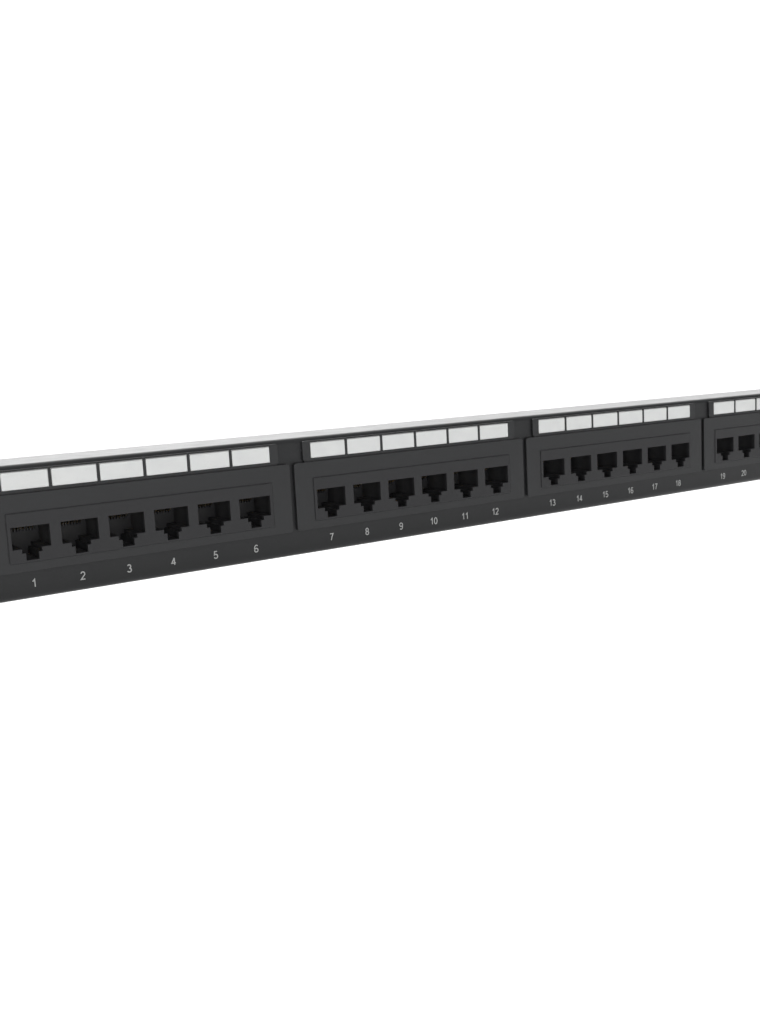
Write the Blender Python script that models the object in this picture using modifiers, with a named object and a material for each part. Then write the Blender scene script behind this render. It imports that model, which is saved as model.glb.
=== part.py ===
"""Rack-mounted patch panel, one rack unit high, with 24 modular jacks in four modules.

Frame, in metres: +X runs along the panel towards port 24, +Y to the rear, +Z up.
The origin is the centre of the plane where the ears' rear faces meet the rack rails.
"""

import math

import bmesh
import bpy
from mathutils import Matrix

# Rack format
PANEL_WIDTH = 0.4826
PANEL_HEIGHT = 0.04366
EAR_SLOT_SPAN = 0.4651
EAR_SLOT_RISE = 0.03175
EAR_SLOT_LENGTH = 0.0102
EAR_SLOT_HEIGHT = 0.0068

# Port layout
PORT_PITCH = 0.015875
PORTS_PER_MODULE = 6
MODULES = 4
MODULE_PITCH = 7 * PORT_PITCH

# General
TOUCH_GAP = 0.0003
OVERLAP = 0.0005
MERGE_DISTANCE = 0.000001
SNAP_DIGITS = 7
CORNER_STEPS = 3

# Sheet steel
SHEET = 0.0015
BEND_RADIUS = 0.0020
BEND_STEPS = 8
FLANGE_DEPTH = 0.030
FLANGE_HALF_LENGTH = 0.223
EAR_SHOULDER = 0.225
EAR_CORNER_RADIUS = 0.0015
RELIEF_DEPTH = 0.0011
STEEL_FRONT = -SHEET

# Bezel
BEZEL_WIDTH = 0.1091
BEZEL_BOTTOM = -0.0124
BEZEL_TOP = 0.0126
BEZEL_FRONT = -0.0029
BEZEL_CORNER_RADIUS = 0.0010
COLLAR_HALF_WIDTH = 0.0522
COLLAR_BOTTOM = -0.0109
COLLAR_TOP = 0.0102
COLLAR_REAR = 0.0060
BARB_HEIGHT = 0.0011
BARB_LENGTH = 0.0080
BARB_THICKNESS = 0.0012
BARB_OFFSET = 0.025
BOSS_X = 0.04965
BOSS_Z = -0.0010
BOSS_RADIUS = 0.0024
PILOT_RADIUS = 0.0016
PILOT_FRONT = 0.0070

# Jack block
JACK_HALF_WIDTH = 0.0469
JACK_BOTTOM = -0.0093
JACK_TOP = 0.0065
JACK_FRONT = -0.0032
JACK_REAR = 0.0152
PORT_TOP = 0.0021
PORT_FLOOR = -0.0050
PORT_HALF_WIDTH = 0.00608
LATCH_STEP_FLOOR = -0.0064
LATCH_STEP_HALF_WIDTH = 0.00315
LATCH_NOTCH_FLOOR = -0.0088
LATCH_NOTCH_HALF_WIDTH = 0.0020
PORT_REAR = 0.0104

# Contact carrier
FINGER_HALF_WIDTH = 0.0049
FINGER_FRONT = 0.0014
FINGER_BOTTOM = 0.0032
FINGER_TOP = 0.0054
CARRIER_BAR_HALF_WIDTH = 0.0456
CARRIER_BAR_FRONT = 0.0125
CARRIER_REAR = 0.0149
CONTACTS = 8
CONTACT_PITCH = 0.00102
CONTACT_THICKNESS = 0.00036
CONTACT_ROOT = (0.0024, 0.0036)
CONTACT_TIP = (0.0088, -0.0003)
WIRE_WINDOW_HALF_WIDTH = 0.0042
WIRE_WINDOW_FRONT = 0.0019
WIRE_WINDOW_REAR = 0.0058

# Circuit board
BOARD_HALF_WIDTH = 0.054
BOARD_HALF_HEIGHT = 0.018
BOARD_FRONT = 0.0155
BOARD_THICKNESS = 0.0016
BOARD_REAR = BOARD_FRONT + BOARD_THICKNESS
BOARD_HOLE_RADIUS = 0.0017
BOARD_CORNER_RADIUS = 0.0010

# Punch-down blocks
BLOCK_LENGTH = 0.0334
BLOCK_WIDTH = 0.0085
BLOCK_PITCH = 0.035
BLOCK_ROW_OFFSET = 0.0110
BLOCKS_PER_ROW = 3
BLOCK_BASE = BOARD_REAR + TOUCH_GAP
BLOCK_SHOULDER = 0.0295
BLOCK_PEAK = 0.0310
SLOT_PITCH = 0.00381
SLOT_WIDTH = 0.0010
SLOT_FLOOR = 0.0245

# Label holder and its insert
LABEL_FIELD_BOTTOM = 0.01402
LABEL_FIELD_TOP = 0.01978
LABEL_HEIGHT = (LABEL_FIELD_BOTTOM + LABEL_FIELD_TOP) / 2
LABEL_DIVIDER = 0.00116
LABEL_WINDOW_GAP = 0.00015
LABEL_FRAME_HALF_WIDTH = 0.0504
LABEL_FRAME_BOTTOM = 0.0131
LABEL_FRAME_TOP = 0.0204
LABEL_FRAME_FRONT = -0.0026
LABEL_FRAME_REAR = -0.0017
LABEL_LIP = 0.0004
LABEL_POCKET_HALF_WIDTH = 0.0484
LABEL_POCKET_MARGIN = 0.0004
LABEL_INSERT_REAR = -0.00175
LABEL_INSERT_BASE = 0.0003
LABEL_INSERT_MARGIN = 0.00025
LABEL_FIELD_RECESS = 0.00005
PEG_X = 0.0494
PEG_RADIUS = 0.0008
PEG_HOLE_RADIUS = 0.00115
PEG_TIP = 0.0010
PEG_SEGMENTS = 10

# Module screws
SCREW_RADIUS = 0.0013
SCREW_TIP = 0.0080
SCREW_HEAD_RADIUS = 0.0027
SCREW_SEAT = BOARD_REAR + 0.0002
SCREW_HEAD_HEIGHT = 0.0019
SCREW_STEPS = 12

# How an outline's x, y and extrusion lie in the panel's frame
FACING_FRONT = Matrix.Rotation(math.radians(90), 4, "X")
ALONG_PANEL = Matrix(((0, 0, 1, 0), (1, 0, 0, 0), (0, 1, 0, 0), (0, 0, 0, 1)))
FROM_ABOVE = Matrix.Identity(4)


def clear_scene():
    for item in list(bpy.data.objects):
        bpy.data.objects.remove(item, do_unlink=True)


def new_collection(name):
    collection = bpy.data.collections.new(name)
    bpy.context.scene.collection.children.link(collection)
    return collection


def new_material(name, color, roughness, metallic=0.0):
    material = bpy.data.materials.new(name)
    material.use_nodes = True
    shader = material.node_tree.nodes["Principled BSDF"]
    shader.inputs["Base Color"].default_value = (*color, 1.0)
    shader.inputs["Roughness"].default_value = roughness
    shader.inputs["Metallic"].default_value = metallic
    return material


def add_part(name, mesh, material):
    part = bpy.data.objects.new(name, mesh)
    mesh.materials.clear()
    mesh.materials.append(material)
    parts.objects.link(part)
    return part


def add_tool(name, mesh):
    """A solid that only cuts or joins, and is not a part."""
    tool = bpy.data.objects.new(name, mesh)
    tool.hide_render = True
    tool.display_type = "WIRE"
    tools.objects.link(tool)
    return tool


def combine(part, mesh, operation, name):
    """Cut a solid away from a part, or join one to it."""
    modifier = part.modifiers.new(name, "BOOLEAN")
    modifier.operation = operation
    modifier.solver = "EXACT"
    modifier.object = add_tool(f"{part.name}_{name}", mesh)


def boxes_mesh(name, corners):
    """One mesh of separate boxes, each given by its lowest and highest corner."""
    mesh = bpy.data.meshes.new(name)
    body = bmesh.new()
    for low, high in corners:
        size = [high[axis] - low[axis] for axis in range(3)]
        centre = [(high[axis] + low[axis]) / 2 for axis in range(3)]
        place = Matrix.Translation(centre) @ Matrix.Diagonal((*size, 1.0))
        bmesh.ops.create_cube(body, size=1.0, matrix=place)
    body.to_mesh(mesh)
    body.free()
    return mesh


def cylinders_mesh(name, centres, radius, front, rear, segments=16):
    """One mesh of separate cylinders that run along Y."""
    mesh = bpy.data.meshes.new(name)
    body = bmesh.new()
    turn = Matrix.Rotation(math.radians(90), 4, "X")
    for x, z in centres:
        place = Matrix.Translation((x, (front + rear) / 2, z)) @ turn
        bmesh.ops.create_cone(
            body, cap_ends=True, segments=segments, radius1=radius, radius2=radius,
            depth=rear - front, matrix=place)
    body.to_mesh(mesh)
    body.free()
    return mesh


def outline_mesh(name, outline, low, high, plane):
    """Extrude a flat closed outline from low to high, with each end one flat face.

    FACING_FRONT runs along Y, ALONG_PANEL along X and FROM_ABOVE along Z.
    """
    curve = bpy.data.curves.new(name, "CURVE")
    curve.dimensions = "2D"
    curve.fill_mode = "BOTH"
    curve.extrude = (high - low) / 2
    spline = curve.splines.new("POLY")
    spline.points.add(len(outline) - 1)
    for point, (x, y) in zip(spline.points, outline):
        point.co = (x, y, 0.0, 1.0)
    spline.use_cyclic_u = True
    guide = bpy.data.objects.new(name, curve)
    tools.objects.link(guide)
    bpy.context.view_layer.update()
    evaluated = guide.evaluated_get(bpy.context.evaluated_depsgraph_get())
    mesh = bpy.data.meshes.new_from_object(evaluated)
    bpy.data.objects.remove(guide, do_unlink=True)

    body = bmesh.new()
    body.from_mesh(mesh)
    bmesh.ops.remove_doubles(body, verts=body.verts, dist=MERGE_DISTANCE)
    for end in (-curve.extrude, curve.extrude):
        cap = [face for face in body.faces
               if all(abs(vert.co.z - end) < MERGE_DISTANCE for vert in face.verts)]
        bmesh.ops.dissolve_faces(body, faces=cap)
    bmesh.ops.recalc_face_normals(body, faces=body.faces)
    middle = -(low + high) / 2 if plane == FACING_FRONT else (low + high) / 2
    body.transform(plane @ Matrix.Translation((0, 0, middle)))
    for vert in body.verts:
        vert.co = [round(value, SNAP_DIGITS) for value in vert.co]
    body.to_mesh(mesh)
    body.free()
    return mesh


def arc(centre, radius, start, end, steps=CORNER_STEPS):
    """Points on an arc, with its two angles in degrees."""
    points = []
    for step in range(steps + 1):
        angle = math.radians(start + (end - start) * step / steps)
        points.append((centre[0] + radius * math.cos(angle), centre[1] + radius * math.sin(angle)))
    return points


def rounded_rectangle(left, right, bottom, top, radius, steps=CORNER_STEPS):
    points = arc((right - radius, bottom + radius), radius, -90, 0, steps)
    points += arc((right - radius, top - radius), radius, 0, 90, steps)
    points += arc((left + radius, top - radius), radius, 90, 180, steps)
    points += arc((left + radius, bottom + radius), radius, 180, 270, steps)
    return points


def slot(centre, length, height, steps=6):
    """A horizontal slot with round ends."""
    reach = (length - height) / 2
    points = arc((centre[0] + reach, centre[1]), height / 2, -90, 90, steps)
    points += arc((centre[0] - reach, centre[1]), height / 2, 90, 270, steps)
    return points


def module_centre(module):
    return (module - (MODULES - 1) / 2) * MODULE_PITCH


def port_offset(port):
    return (port - (PORTS_PER_MODULE - 1) / 2) * PORT_PITCH


def smooth_round_faces(part):
    part.data.shade_smooth()
    part.data.set_sharp_from_angle(angle=math.radians(40))


def make_front_panel():
    """A flat plate with ears, windows and holes, and a flange folded back along each long edge."""
    bend_line = PANEL_HEIGHT / 2 - BEND_RADIUS
    relief = bend_line - RELIEF_DEPTH
    half_width = PANEL_WIDTH / 2
    half_height = PANEL_HEIGHT / 2
    corner = EAR_CORNER_RADIUS
    quarter = [(0.0, bend_line), (FLANGE_HALF_LENGTH, bend_line)]
    quarter += [(FLANGE_HALF_LENGTH, relief), (EAR_SHOULDER, relief), (EAR_SHOULDER, half_height)]
    quarter += arc((half_width - corner, half_height - corner), corner, 90, 0)
    upper = quarter[1:] + [(x, -z) for x, z in reversed(quarter[1:])]
    plate_outline = upper + [(-x, -z) for x, z in upper]

    mesh = outline_mesh("front_panel", plate_outline, STEEL_FRONT, 0.0, FACING_FRONT)
    panel = add_part("front_panel", mesh, black_steel)

    through = (STEEL_FRONT - OVERLAP, OVERLAP)
    slots = []
    for side in (-1, 1):
        for level in (-1, 1):
            centre = (side * EAR_SLOT_SPAN / 2, level * EAR_SLOT_RISE / 2)
            outline = slot(centre, EAR_SLOT_LENGTH, EAR_SLOT_HEIGHT)
            slots.append(outline_mesh("ear_slot", outline, *through, FACING_FRONT))
    combine(panel, merge_meshes("ear_slots", slots), "DIFFERENCE", "ear_slots")

    window = COLLAR_HALF_WIDTH + TOUCH_GAP
    windows = []
    pegs = []
    for module in range(MODULES):
        x = module_centre(module)
        windows.append((
            (x - window, through[0], COLLAR_BOTTOM - TOUCH_GAP),
            (x + window, through[1], COLLAR_TOP + TOUCH_GAP)))
        pegs += [(x + side * PEG_X, LABEL_HEIGHT) for side in (-1, 1)]
    combine(panel, boxes_mesh("windows", windows), "DIFFERENCE", "windows")
    peg_holes = cylinders_mesh("peg_holes", pegs, PEG_HOLE_RADIUS, *through, PEG_SEGMENTS)
    combine(panel, peg_holes, "DIFFERENCE", "peg_holes")

    for level in (-1, 1):
        centre = (STEEL_FRONT + BEND_RADIUS, bend_line)
        outer = arc(centre, BEND_RADIUS, 180, 90, BEND_STEPS)
        inner = arc(centre, BEND_RADIUS - SHEET, 90, 180, BEND_STEPS)
        profile = [(STEEL_FRONT, bend_line - OVERLAP)] + outer
        profile += [(STEEL_FRONT + FLANGE_DEPTH, half_height)]
        profile += [(STEEL_FRONT + FLANGE_DEPTH, half_height - SHEET)]
        profile += inner + [(0.0, bend_line - OVERLAP)]
        profile = [(y, level * z) for y, z in profile]
        mesh = outline_mesh(
            "flange", profile, -FLANGE_HALF_LENGTH, FLANGE_HALF_LENGTH, ALONG_PANEL)
        combine(panel, mesh, "UNION", "lower_flange" if level < 0 else "upper_flange")


def make_bezel(module):
    """The moulded surround: a thin face, a collar through the steel, snap barbs and two bosses."""
    x = module_centre(module)
    face_rear = STEEL_FRONT - TOUCH_GAP
    half_width = BEZEL_WIDTH / 2
    outline = rounded_rectangle(
        x - half_width, x + half_width, BEZEL_BOTTOM, BEZEL_TOP, BEZEL_CORNER_RADIUS)
    mesh = outline_mesh("bezel", outline, BEZEL_FRONT, face_rear, FACING_FRONT)
    bezel = add_part(f"bezel_{module + 1}", mesh, bezel_plastic)

    collar = boxes_mesh("collar", [(
        (x - COLLAR_HALF_WIDTH, face_rear - OVERLAP, COLLAR_BOTTOM),
        (x + COLLAR_HALF_WIDTH, COLLAR_REAR, COLLAR_TOP))])
    combine(bezel, collar, "UNION", "collar")

    corners = []
    for side in (-1, 1):
        left = x + side * BARB_OFFSET - BARB_LENGTH / 2
        right = left + BARB_LENGTH
        for low, high in (
                (COLLAR_TOP - OVERLAP, COLLAR_TOP + BARB_HEIGHT),
                (COLLAR_BOTTOM - BARB_HEIGHT, COLLAR_BOTTOM + OVERLAP)):
            corners.append(((left, TOUCH_GAP, low), (right, TOUCH_GAP + BARB_THICKNESS, high)))
    combine(bezel, boxes_mesh("barbs", corners), "UNION", "barbs")

    centres = [(x + side * BOSS_X, BOSS_Z) for side in (-1, 1)]
    bosses = cylinders_mesh("bosses", centres, BOSS_RADIUS, COLLAR_REAR - OVERLAP, JACK_REAR)
    combine(bezel, bosses, "UNION", "bosses")
    pilots = cylinders_mesh("pilots", centres, PILOT_RADIUS, PILOT_FRONT, JACK_REAR + OVERLAP, 12)
    combine(bezel, pilots, "DIFFERENCE", "pilots")

    window = boxes_mesh("window", [(
        (x - JACK_HALF_WIDTH - TOUCH_GAP, BEZEL_FRONT - OVERLAP, JACK_BOTTOM - TOUCH_GAP),
        (x + JACK_HALF_WIDTH + TOUCH_GAP, COLLAR_REAR + OVERLAP, JACK_TOP + TOUCH_GAP))])
    combine(bezel, window, "DIFFERENCE", "window")


def port_outline(x):
    """A plug's cross-section, with the stepped notch for its latch at the bottom."""
    right = [
        (x + LATCH_NOTCH_HALF_WIDTH, LATCH_NOTCH_FLOOR),
        (x + LATCH_NOTCH_HALF_WIDTH, LATCH_STEP_FLOOR),
        (x + LATCH_STEP_HALF_WIDTH, LATCH_STEP_FLOOR),
        (x + LATCH_STEP_HALF_WIDTH, PORT_FLOOR),
        (x + PORT_HALF_WIDTH, PORT_FLOOR),
        (x + PORT_HALF_WIDTH, PORT_TOP)]
    return right + [(2 * x - px, pz) for px, pz in reversed(right)]


def merge_meshes(name, meshes):
    body = bmesh.new()
    for mesh in meshes:
        body.from_mesh(mesh)
    merged = bpy.data.meshes.new(name)
    body.to_mesh(merged)
    body.free()
    return merged


def make_jack_block(module):
    """Six plug cavities side by side, with a pocket behind and above them for the contacts."""
    x = module_centre(module)
    block = add_part(f"jack_block_{module + 1}", boxes_mesh("jack_block", [(
        (x - JACK_HALF_WIDTH, JACK_FRONT, JACK_BOTTOM),
        (x + JACK_HALF_WIDTH, JACK_REAR, JACK_TOP))]), jack_plastic)

    ports = [x + port_offset(port) for port in range(PORTS_PER_MODULE)]
    cavities = []
    for port_x in ports:
        cavities.append(outline_mesh(
            "cavity", port_outline(port_x), JACK_FRONT - OVERLAP, PORT_REAR, FACING_FRONT))
    combine(block, merge_meshes("cavities", cavities), "DIFFERENCE", "cavities")

    pocket_bottom = FINGER_BOTTOM - TOUCH_GAP
    pocket_top = FINGER_TOP + TOUCH_GAP
    bar = boxes_mesh("bar_pocket", [(
        (x - CARRIER_BAR_HALF_WIDTH - TOUCH_GAP, CARRIER_BAR_FRONT - TOUCH_GAP, pocket_bottom),
        (x + CARRIER_BAR_HALF_WIDTH + TOUCH_GAP, JACK_REAR + OVERLAP, pocket_top))])
    combine(block, bar, "DIFFERENCE", "bar_pocket")
    fingers = []
    windows = []
    for port_x in ports:
        half = FINGER_HALF_WIDTH + TOUCH_GAP
        fingers.append((
            (port_x - half, FINGER_FRONT - TOUCH_GAP, pocket_bottom),
            (port_x + half, CARRIER_BAR_FRONT, pocket_top)))
        windows.append((
            (port_x - WIRE_WINDOW_HALF_WIDTH, WIRE_WINDOW_FRONT, PORT_TOP - OVERLAP),
            (port_x + WIRE_WINDOW_HALF_WIDTH, WIRE_WINDOW_REAR, pocket_bottom + OVERLAP)))
    combine(block, boxes_mesh("finger_pockets", fingers), "DIFFERENCE", "finger_pockets")
    combine(block, boxes_mesh("wire_windows", windows), "DIFFERENCE", "wire_windows")


def contact_mesh(contacts):
    """Straight spring wires that slope down and back from the carrier into the cavities."""
    mesh = bpy.data.meshes.new("contacts")
    body = bmesh.new()
    run = CONTACT_TIP[0] - CONTACT_ROOT[0]
    fall = CONTACT_TIP[1] - CONTACT_ROOT[1]
    length = math.hypot(run, fall)
    middle_y = (CONTACT_TIP[0] + CONTACT_ROOT[0]) / 2
    middle_z = (CONTACT_TIP[1] + CONTACT_ROOT[1]) / 2
    tilt = Matrix.Rotation(math.atan2(fall, run), 4, "X")
    size = Matrix.Diagonal((CONTACT_THICKNESS, length, CONTACT_THICKNESS, 1.0))
    for contact_x in contacts:
        place = Matrix.Translation((contact_x, middle_y, middle_z)) @ tilt @ size
        bmesh.ops.create_cube(body, size=1.0, matrix=place)
    body.to_mesh(mesh)
    body.free()
    return mesh


def make_contact_carrier(module):
    """A comb-shaped insert: a rear bar, a finger over each port, and eight contacts a finger."""
    x = module_centre(module)
    ports = [x + port_offset(port) for port in range(PORTS_PER_MODULE)]
    outline = [
        (x + CARRIER_BAR_HALF_WIDTH, CARRIER_REAR),
        (x - CARRIER_BAR_HALF_WIDTH, CARRIER_REAR),
        (x - CARRIER_BAR_HALF_WIDTH, CARRIER_BAR_FRONT)]
    for port_x in ports:
        outline += [
            (port_x - FINGER_HALF_WIDTH, CARRIER_BAR_FRONT),
            (port_x - FINGER_HALF_WIDTH, FINGER_FRONT),
            (port_x + FINGER_HALF_WIDTH, FINGER_FRONT),
            (port_x + FINGER_HALF_WIDTH, CARRIER_BAR_FRONT)]
    outline.append((x + CARRIER_BAR_HALF_WIDTH, CARRIER_BAR_FRONT))
    mesh = outline_mesh("carrier", outline, FINGER_BOTTOM, FINGER_TOP, FROM_ABOVE)
    carrier = add_part(f"contact_carrier_{module + 1}", mesh, carrier_plastic)

    contacts = []
    for port_x in ports:
        for contact in range(CONTACTS):
            contacts.append(port_x + (contact - (CONTACTS - 1) / 2) * CONTACT_PITCH)
    combine(carrier, contact_mesh(contacts), "UNION", "contacts")


def make_board(module):
    x = module_centre(module)
    outline = rounded_rectangle(
        x - BOARD_HALF_WIDTH, x + BOARD_HALF_WIDTH,
        BOSS_Z - BOARD_HALF_HEIGHT, BOSS_Z + BOARD_HALF_HEIGHT, BOARD_CORNER_RADIUS)
    mesh = outline_mesh("board", outline, BOARD_FRONT, BOARD_REAR, FACING_FRONT)
    board = add_part(f"circuit_board_{module + 1}", mesh, board_laminate)
    centres = [(x + side * BOSS_X, BOSS_Z) for side in (-1, 1)]
    holes = cylinders_mesh(
        "holes", centres, BOARD_HOLE_RADIUS, BOARD_FRONT - OVERLAP, BOARD_REAR + OVERLAP)
    combine(board, holes, "DIFFERENCE", "screw_holes")


def block_outline():
    """A punch-down block from above: peaked pillars with eight wire slots between them."""
    half = BLOCK_LENGTH / 2
    slots = [(index - (CONTACTS - 1) / 2) * SLOT_PITCH for index in range(CONTACTS)]
    points = [(half, BLOCK_BASE), (-half, BLOCK_BASE), (-half, BLOCK_SHOULDER)]
    left = -half
    for index, slot_x in enumerate(slots):
        right = slot_x - SLOT_WIDTH / 2
        if index % 2 == 0:
            points.append(((left + right) / 2, BLOCK_PEAK))
        points += [(right, BLOCK_SHOULDER), (right, SLOT_FLOOR)]
        left = slot_x + SLOT_WIDTH / 2
        points += [(left, SLOT_FLOOR), (left, BLOCK_SHOULDER)]
    points += [((left + half) / 2, BLOCK_PEAK), (half, BLOCK_SHOULDER)]
    return points


def make_punch_down_blocks():
    """One eight-way block for each port, in two rows of three on each board."""
    mesh = outline_mesh(
        "punch_down", block_outline(), -BLOCK_WIDTH / 2, BLOCK_WIDTH / 2, FROM_ABOVE)
    for module in range(MODULES):
        for index in range(PORTS_PER_MODULE):
            row, column = divmod(index, BLOCKS_PER_ROW)
            port = module * PORTS_PER_MODULE + index + 1
            block = add_part(f"punch_down_block_{port:02d}", mesh.copy(), block_plastic)
            block.location = (
                module_centre(module) + (column - 1) * BLOCK_PITCH,
                0.0,
                BOSS_Z + (1 - 2 * row) * BLOCK_ROW_OFFSET)


def make_label_frame(module):
    """A slim holder with six windows, a pocket behind them and a peg at each end."""
    x = module_centre(module)
    outline = rounded_rectangle(
        x - LABEL_FRAME_HALF_WIDTH, x + LABEL_FRAME_HALF_WIDTH,
        LABEL_FRAME_BOTTOM, LABEL_FRAME_TOP, 0.0006, 2)
    mesh = outline_mesh(
        "label_frame", outline, LABEL_FRAME_FRONT, LABEL_FRAME_REAR, FACING_FRONT)
    frame = add_part(f"label_frame_{module + 1}", mesh, bezel_plastic)

    windows = []
    half = (PORT_PITCH - LABEL_DIVIDER) / 2 + LABEL_WINDOW_GAP
    for port in range(PORTS_PER_MODULE):
        port_x = x + port_offset(port)
        windows.append((
            (port_x - half, LABEL_FRAME_FRONT - OVERLAP, LABEL_FIELD_BOTTOM - LABEL_WINDOW_GAP),
            (port_x + half, LABEL_FRAME_REAR + OVERLAP, LABEL_FIELD_TOP + LABEL_WINDOW_GAP)))
    combine(frame, boxes_mesh("windows", windows), "DIFFERENCE", "windows")
    pocket = boxes_mesh("pocket", [(
        (x - LABEL_POCKET_HALF_WIDTH, LABEL_FRAME_FRONT + LABEL_LIP,
         LABEL_FRAME_BOTTOM + LABEL_POCKET_MARGIN),
        (x + LABEL_POCKET_HALF_WIDTH, LABEL_FRAME_REAR + OVERLAP,
         LABEL_FRAME_TOP - LABEL_POCKET_MARGIN))])
    combine(frame, pocket, "DIFFERENCE", "pocket")
    centres = [(x + side * PEG_X, LABEL_HEIGHT) for side in (-1, 1)]
    pegs = cylinders_mesh(
        "pegs", centres, PEG_RADIUS, LABEL_FRAME_REAR - OVERLAP, PEG_TIP, PEG_SEGMENTS)
    combine(frame, pegs, "UNION", "pegs")


def make_label_insert(module):
    """The white insert: a thin base with six raised writing fields that fill the windows."""
    x = module_centre(module)
    base_front = LABEL_INSERT_REAR - LABEL_INSERT_BASE
    half = LABEL_POCKET_HALF_WIDTH - LABEL_INSERT_MARGIN
    bottom = LABEL_FRAME_BOTTOM + LABEL_POCKET_MARGIN + LABEL_INSERT_MARGIN
    top = LABEL_FRAME_TOP - LABEL_POCKET_MARGIN - LABEL_INSERT_MARGIN
    insert = add_part(f"label_insert_{module + 1}", boxes_mesh("label_insert", [(
        (x - half, base_front, bottom), (x + half, LABEL_INSERT_REAR, top))]), label_white)
    field_half = (PORT_PITCH - LABEL_DIVIDER) / 2
    fields = []
    for port in range(PORTS_PER_MODULE):
        port_x = x + port_offset(port)
        fields.append((
            (port_x - field_half, LABEL_FRAME_FRONT + LABEL_FIELD_RECESS, LABEL_FIELD_BOTTOM),
            (port_x + field_half, base_front + LABEL_INSERT_BASE / 2, LABEL_FIELD_TOP)))
    combine(insert, boxes_mesh("fields", fields), "UNION", "fields")


def screw_mesh():
    """A pan-head screw turned about Z, with its tip at the bottom."""
    shank = SCREW_SEAT - SCREW_TIP
    head = shank + SCREW_HEAD_HEIGHT
    profile = [
        (0.0, head),
        (SCREW_HEAD_RADIUS * 0.6, head - 0.0002),
        (SCREW_HEAD_RADIUS, head - 0.0009),
        (SCREW_HEAD_RADIUS, shank),
        (SCREW_RADIUS, shank),
        (SCREW_RADIUS, SCREW_RADIUS),
        (0.0, 0.0)]
    mesh = bpy.data.meshes.new("screw_profile")
    body = bmesh.new()
    points = [body.verts.new((radius, 0.0, height)) for radius, height in profile]
    for first, second in zip(points, points[1:]):
        body.edges.new((first, second))
    body.to_mesh(mesh)
    body.free()
    return mesh


def make_module_screws(module):
    for side, position in ((-1, "left"), (1, "right")):
        screw = add_part(f"module_screw_{module + 1}_{position}", screw_mesh(), screw_zinc)
        turned = screw.modifiers.new("turned", "SCREW")
        turned.steps = SCREW_STEPS
        turned.render_steps = SCREW_STEPS
        turned.use_merge_vertices = True
        turned.merge_threshold = 0.00001
        screw.rotation_euler = (math.radians(-90), 0.0, 0.0)
        screw.location = (module_centre(module) + side * BOSS_X, SCREW_TIP, BOSS_Z)


clear_scene()
parts = new_collection("patch_panel")
tools = new_collection("cutters")
black_steel = new_material("black_steel", (0.030, 0.031, 0.033), 0.45)
bezel_plastic = new_material("bezel_plastic", (0.036, 0.037, 0.040), 0.50)
jack_plastic = new_material("jack_plastic", (0.030, 0.030, 0.033), 0.55)
carrier_plastic = new_material("carrier_plastic", (0.020, 0.020, 0.022), 0.55)
board_laminate = new_material("board_laminate", (0.020, 0.120, 0.060), 0.40)
block_plastic = new_material("block_plastic", (0.030, 0.030, 0.032), 0.50)
label_white = new_material("label_white", (0.780, 0.790, 0.780), 0.60)
screw_zinc = new_material("screw_zinc", (0.620, 0.620, 0.600), 0.30, 1.0)

make_front_panel()
for module_index in range(MODULES):
    make_bezel(module_index)
    make_jack_block(module_index)
    make_contact_carrier(module_index)
    make_board(module_index)
    make_label_frame(module_index)
    make_label_insert(module_index)
    make_module_screws(module_index)
make_punch_down_blocks()
for part_object in parts.objects:
    smooth_round_faces(part_object)
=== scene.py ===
"""Looks of the patch panel: finishes, fine detail, studio and camera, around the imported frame."""

import math

import bmesh
import bpy
from mathutils import Matrix, Vector


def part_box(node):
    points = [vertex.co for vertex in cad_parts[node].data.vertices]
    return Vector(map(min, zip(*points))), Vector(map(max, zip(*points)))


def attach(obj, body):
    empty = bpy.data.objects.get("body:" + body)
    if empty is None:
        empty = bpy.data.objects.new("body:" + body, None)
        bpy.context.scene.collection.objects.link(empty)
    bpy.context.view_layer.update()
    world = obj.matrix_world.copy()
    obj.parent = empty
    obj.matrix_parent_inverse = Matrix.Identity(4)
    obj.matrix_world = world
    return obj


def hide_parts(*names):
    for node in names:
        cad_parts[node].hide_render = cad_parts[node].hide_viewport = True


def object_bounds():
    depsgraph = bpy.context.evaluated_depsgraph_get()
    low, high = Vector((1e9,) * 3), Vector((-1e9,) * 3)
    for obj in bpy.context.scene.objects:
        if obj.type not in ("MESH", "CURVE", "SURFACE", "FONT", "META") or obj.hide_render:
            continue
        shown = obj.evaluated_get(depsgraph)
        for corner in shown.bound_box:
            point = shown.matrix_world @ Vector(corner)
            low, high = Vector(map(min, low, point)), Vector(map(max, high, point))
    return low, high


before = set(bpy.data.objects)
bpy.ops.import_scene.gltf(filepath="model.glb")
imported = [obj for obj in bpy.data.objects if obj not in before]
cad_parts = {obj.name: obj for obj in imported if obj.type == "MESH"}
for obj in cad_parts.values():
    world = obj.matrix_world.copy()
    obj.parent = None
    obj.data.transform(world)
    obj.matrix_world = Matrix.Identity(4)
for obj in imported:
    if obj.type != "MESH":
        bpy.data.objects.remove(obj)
cad_low, cad_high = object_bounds()

MM = 0.001
MODULES = 4
PORTS = 6
CONTACTS = 8

# Layout that follows from the frame
MODULE_X = [sum(corner.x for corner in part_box(f"bezel_{k + 1}")) / 2 for k in range(MODULES)]
MODULE_PITCH = MODULE_X[1] - MODULE_X[0]
PORT_PITCH = MODULE_PITCH / 7
BOARD_LOW, BOARD_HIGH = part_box("circuit_board_1")
BOARD_Z = (BOARD_LOW.z + BOARD_HIGH.z) / 2
BOARD_BACK = BOARD_HIGH.y

# Sizes of the solids that the detail made here has to meet
STEEL_FRONT = -1.5 * MM
CONTACT_PITCH = 1.02 * MM
CLIP_PITCH = 3.81 * MM
CAVITY_TOP = 2.1 * MM
CAVITY_REAR = 10.4 * MM
JACK_CLEARANCE = 0.3 * MM

# Corners closer than this are one corner, and edges sharper than this many degrees are rounded
WELD = 0.001 * MM
HARD_EDGE = 30.0
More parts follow.
